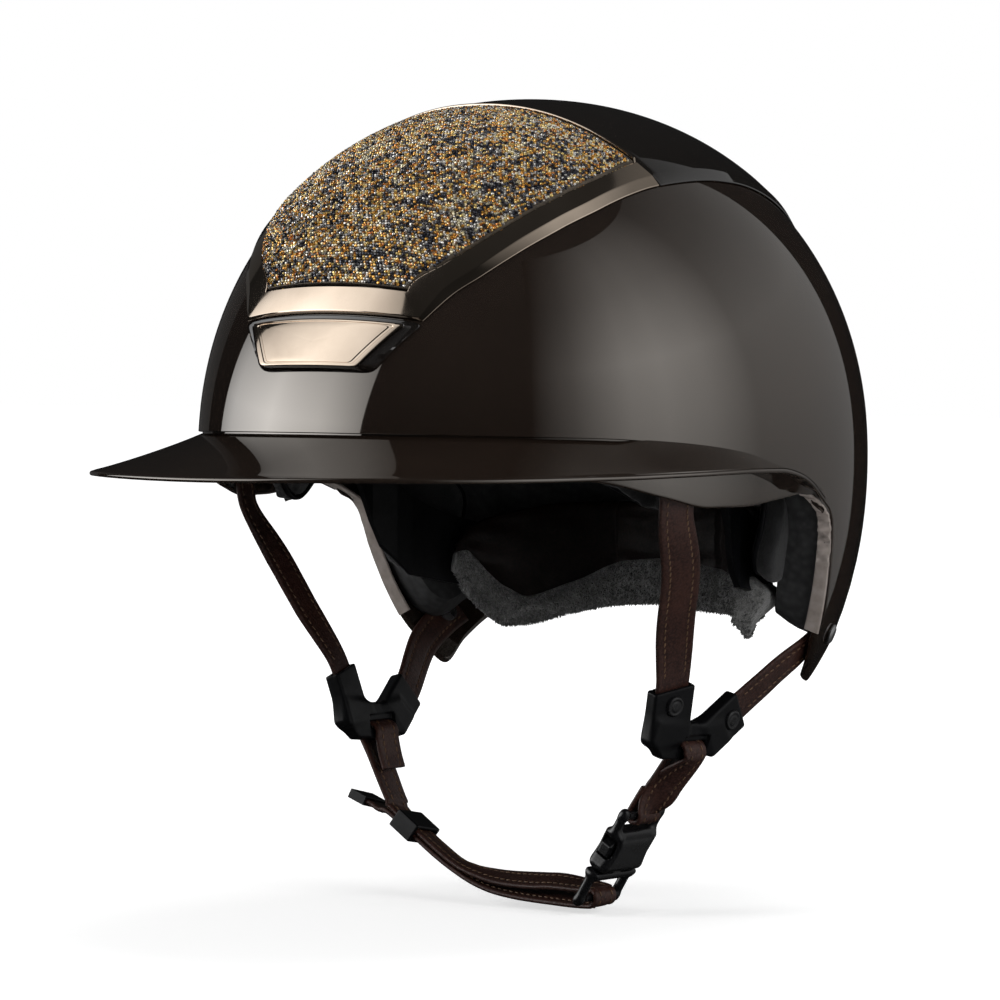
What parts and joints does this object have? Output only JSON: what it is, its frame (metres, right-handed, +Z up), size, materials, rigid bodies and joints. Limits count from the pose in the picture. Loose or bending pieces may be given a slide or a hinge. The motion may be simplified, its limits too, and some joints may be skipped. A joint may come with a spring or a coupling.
{
  "type": "riding helmet",
  "caption": "Hard-shell riding helmet with a wide round brim, jewelled crown band, foam liner, dial-adjusted nape cradle and leather chin harness with a side buckle.",
  "frame": {"origin": "centre of the head space, in the middle plane at the level where the dome is widest", "axes": "-Y to the front of the helmet, +X to the wearer's left, +Z up"},
  "size_m": [0.2502, 0.3271, 0.2944],
  "materials": {
    "shell_gloss": "high gloss very dark brown lacquer",
    "trim_metal": "polished rose-gold metal",
    "crystal": "dense faceted stones in smoke, gold and amber",
    "cover_gloss": "near-black high gloss",
    "foam": "fine-beaded expanded polystyrene, dark grey",
    "textile": "dark grey brushed textile",
    "leather": "dark brown leather with tone stitching",
    "fleece": "brown leather edge with a soft fleece face",
    "black_plastic": "satin black moulded plastic",
    "black_gloss": "gloss black moulded plastic",
    "pinion_plastic": "natural white acetal",
    "steel": "zinc-plated steel",
    "rivet_metal": "dark bronze plated"
  },
  "bodies": {
    "helmet": {"shell": "shell_gloss", "brim": "shell_gloss", "rim_trims": "trim_metal", "crown_frame": "trim_metal", "rear_cover": "cover_gloss", "crystal_panel": "crystal", "crystal_edge_strip": "trim_metal", "badge_bezel": "trim_metal", "badge_plate": "trim_metal", "impact_liner": "foam", "crown_pad": "textile", "front_pad": "textile", "temple_pad_left": "textile", "temple_pad_right": "textile", "wing_pad_left": "textile", "wing_pad_right": "textile", "pivot_pins": "steel", "wing_rivets": "rivet_metal", "front_strap_anchors": "steel", "front_strap_left": "leather", "front_strap_right": "leather", "rear_strap_left": "leather", "rear_strap_right": "leather", "divider_left": "black_plastic", "divider_right": "black_plastic", "divider_snaps": "black_plastic", "buckle_loop": "leather", "buckle_socket": "black_gloss", "buckle_insert": "black_gloss", "chin_strap": "leather", "strap_tip": "black_plastic"},
    "cradle": {"cradle_housing": "black_plastic", "housing_cover": "black_plastic", "cover_screws": "steel", "nape_pad_centre": "fleece"},
    "dial": {"dial_knob": "black_plastic", "dial_pinion": "pinion_plastic", "dial_screw": "steel"},
    "arm_left": {"rack_arm_left": "black_plastic", "nape_pad_left": "fleece"},
    "arm_right": {"rack_arm_right": "black_plastic", "nape_pad_right": "fleece"},
    "prong_front": {"buckle_prong_front": "black_gloss"},
    "prong_rear": {"buckle_prong_rear": "black_gloss"},
    "keeper": {"strap_keeper": "black_plastic"}
  },
  "joints": [
    {"name": "cradle_tilt", "type": "hinge", "parent": "helmet", "child": "cradle", "pos_m": [0, 0.002, 0.003], "axis": [1, 0, 0], "range_deg": [-5, 3]},
    {"name": "dial_turn", "type": "hinge", "parent": "cradle", "child": "dial", "pos_m": [0, 0.0925, -0.044], "axis": [0, -1, 0], "range_deg": [0, 71.63]},
    {"name": "arm_left_slide", "type": "slide", "parent": "cradle", "child": "arm_left", "axis": [-1, 0, 0], "range_m": [0, 0.005]},
    {"name": "arm_right_slide", "type": "slide", "parent": "cradle", "child": "arm_right", "axis": [1, 0, 0], "range_m": [0, 0.005]},
    {"name": "prong_front_squeeze", "type": "slide", "parent": "helmet", "child": "prong_front", "axis": [0, 1, 0], "range_m": [0, 0.002], "stiffness_N_per_m": 500},
    {"name": "prong_rear_squeeze", "type": "slide", "parent": "helmet", "child": "prong_rear", "axis": [0, -1, 0], "range_m": [0, 0.002], "stiffness_N_per_m": 500},
    {"name": "keeper_slide", "type": "slide", "parent": "helmet", "child": "keeper", "axis": [0.829, 0, -0.5592], "range_m": [0, 0.01]}
  ],
  "couplings": [
    {"joint": "dial_turn", "follows": "arm_left_slide", "rad_per_m": 250},
    {"joint": "arm_right_slide", "follows": "arm_left_slide", "ratio": 1}
  ]
}
